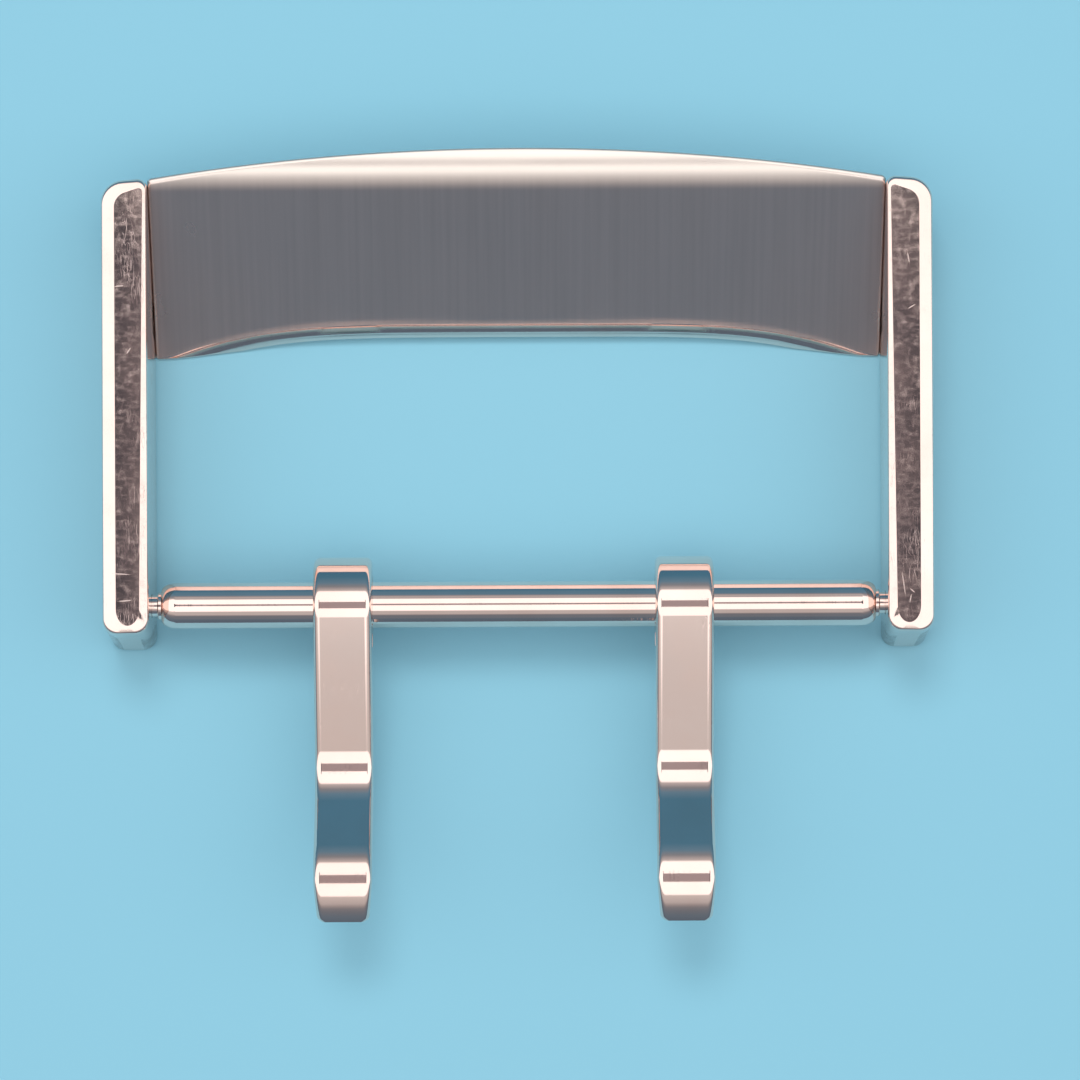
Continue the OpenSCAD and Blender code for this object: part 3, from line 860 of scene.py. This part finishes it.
# %% The room as a plain dome
world = bpy.data.worlds.new("studio")
bpy.context.scene.world = world
world.use_nodes = True
nodes, links = world.node_tree.nodes, world.node_tree.links
direction = nodes.new("ShaderNodeTexCoord").outputs["Generated"]
parts = nodes.new("ShaderNodeSeparateXYZ")
links.new(direction, parts.inputs["Vector"])
lean = nodes.new("ShaderNodeMath")
lean.operation = "ARCTAN2"
links.new(parts.outputs["Y"], lean.inputs[0])
links.new(parts.outputs["Z"], lean.inputs[1])
turn = nodes.new("ShaderNodeMapRange")
turn.inputs["From Min"].default_value = -pi / 2
turn.inputs["From Max"].default_value = pi / 2
links.new(lean.outputs[0], turn.inputs["Value"])

# Colours by how far a direction leans from straight up towards the bridge, in degrees
DOME = [(-90, (0.10, 0.15, 0.21)), (-72, (0.13, 0.19, 0.25)), (-61, (0.17, 0.21, 0.255)),
        (-54, (0.22, 0.245, 0.28)), (-49, (0.34, 0.345, 0.36)), (-44, (0.50, 0.50, 0.51)),
        (-32.5, (0.62, 0.62, 0.62)), (-30, (0.64, 0.64, 0.64)), (-28, (1.4, 1.4, 1.4)),
        (33, (1.4, 1.4, 1.4)), (36, (0.55, 0.55, 0.56)), (46, (0.24, 0.28, 0.32)),
        (56, (0.13, 0.26, 0.37)), (72, (0.07, 0.21, 0.33)), (90, (0.06, 0.19, 0.31))]
ramp = nodes.new("ShaderNodeValToRGB")
elements = ramp.color_ramp.elements
for degrees, color in DOME[1:-1]:
    elements.new(degrees / 180 + 0.5).color = (*color, 1)
elements[0].color, elements[-1].color = (*DOME[0][1], 1), (*DOME[-1][1], 1)
links.new(turn.outputs["Result"], ramp.inputs["Fac"])
links.new(ramp.outputs["Color"], nodes["Background"].inputs["Color"])
nodes["Background"].inputs["Strength"].default_value = 1.0
print("the dome has", len(elements), "colours")

# %% A soft lamp for the table
lamp_data = bpy.data.lights.new("softbox", "AREA")
lamp_data.shape = "DISK"
lamp_data.size = 0.2
lamp_data.energy = 0.8
lamp = bpy.data.objects.new("softbox", lamp_data)
lamp.location = (-0.05, 0.28, 0.5)
lamp.rotation_euler = lamp.location.to_track_quat("Z", "Y").to_euler()
lamp.visible_glossy = False
bpy.context.scene.collection.objects.link(lamp)
print("lamp at", [round(v, 3) for v in lamp.location], "m, not seen by mirrors")

# %% [markdown]
# The photograph was taken from straight above with a macro lens. The camera hangs about 172 mm
# over the back faces: both arms show a sliver of their inner walls, and the slivers' widths give
# that height.

# %% The camera and its lens
CAMERA_MM = (0.71, -0.175, 176.5)
CAMERA_TURN = radians(-0.27)
FIELD_MM = 35.02
SENSOR_MM = 36
camera_data = bpy.data.cameras.new("camera")
camera = bpy.data.objects.new("camera", camera_data)
bpy.context.scene.collection.objects.link(camera)
camera.location = Vector(CAMERA_MM) * MM
camera_data.sensor_width = SENSOR_MM
camera_data.lens = SENSOR_MM * (CAMERA_MM[2] - FRAME_H) / FIELD_MM
camera.rotation_euler = (0, 0, CAMERA_TURN)
camera_data.clip_start = 0.01
bpy.context.scene.camera = camera
print("focal length", round(camera_data.lens, 1), "mm")

# %% [markdown]
# Polished flats that face the camera show the camera itself: brownish where the lens is, nearly
# black on both sides, as dark hands or sleeves would be. A plate just above the camera stands
# for them. It is only there for reflections, and the camera doesn't see it.

# %% The dark plate round the lens
# Each part's low x, high x, low y and high y: the lens itself, then both sides
LENS_PARTS_MM = [(-25, 22.5, -24, 24), (-42, -25, -27, 40), (22.5, 42, -27, 40)]
PLATE_LOOKS = [("lens_ring", (0.38, 0.32, 0.33)), ("hands", (0.05, 0.034, 0.04))]
PLATE_OVER_CAMERA = 0.002
lens_bm = bmesh.new()
for index, (low_x, high_x, low_y, high_y) in enumerate(LENS_PARTS_MM):
    made = bmesh.ops.create_grid(lens_bm, x_segments=1, y_segments=1, size=MM / 2)["verts"]
    bmesh.ops.scale(lens_bm, vec=(high_x - low_x, high_y - low_y, 1), verts=made)
    middle = Vector((low_x + high_x, low_y + high_y, 0)) / 2 * MM
    bmesh.ops.translate(lens_bm, vec=middle, verts=made)
    made[0].link_faces[0].material_index = min(index, 1)
lens_mesh = bpy.data.meshes.new("lens")
lens_bm.to_mesh(lens_mesh)
lens_bm.free()
lens = bpy.data.objects.new("lens", lens_mesh)
bpy.context.scene.collection.objects.link(lens)
lens.location = camera.location + Vector((0, 0, PLATE_OVER_CAMERA))
lens.visible_camera = lens.visible_diffuse = lens.visible_shadow = False
for name, color in PLATE_LOOKS:
    look = bpy.data.materials.new(name)
    look.use_nodes = True
    glow = look.node_tree.nodes["Principled BSDF"]
    glow.inputs["Base Color"].default_value = (0.02, 0.02, 0.02, 1)
    glow.inputs["Emission Color"].default_value = (*color, 1)
    glow.inputs["Emission Strength"].default_value = 1.0
    lens_mesh.materials.append(look)
print("the plate hangs", round(lens.location.z / MM, 1), "mm over the table")

# %% Colours are shown as they are
bpy.context.scene.view_settings.view_transform = "Standard"
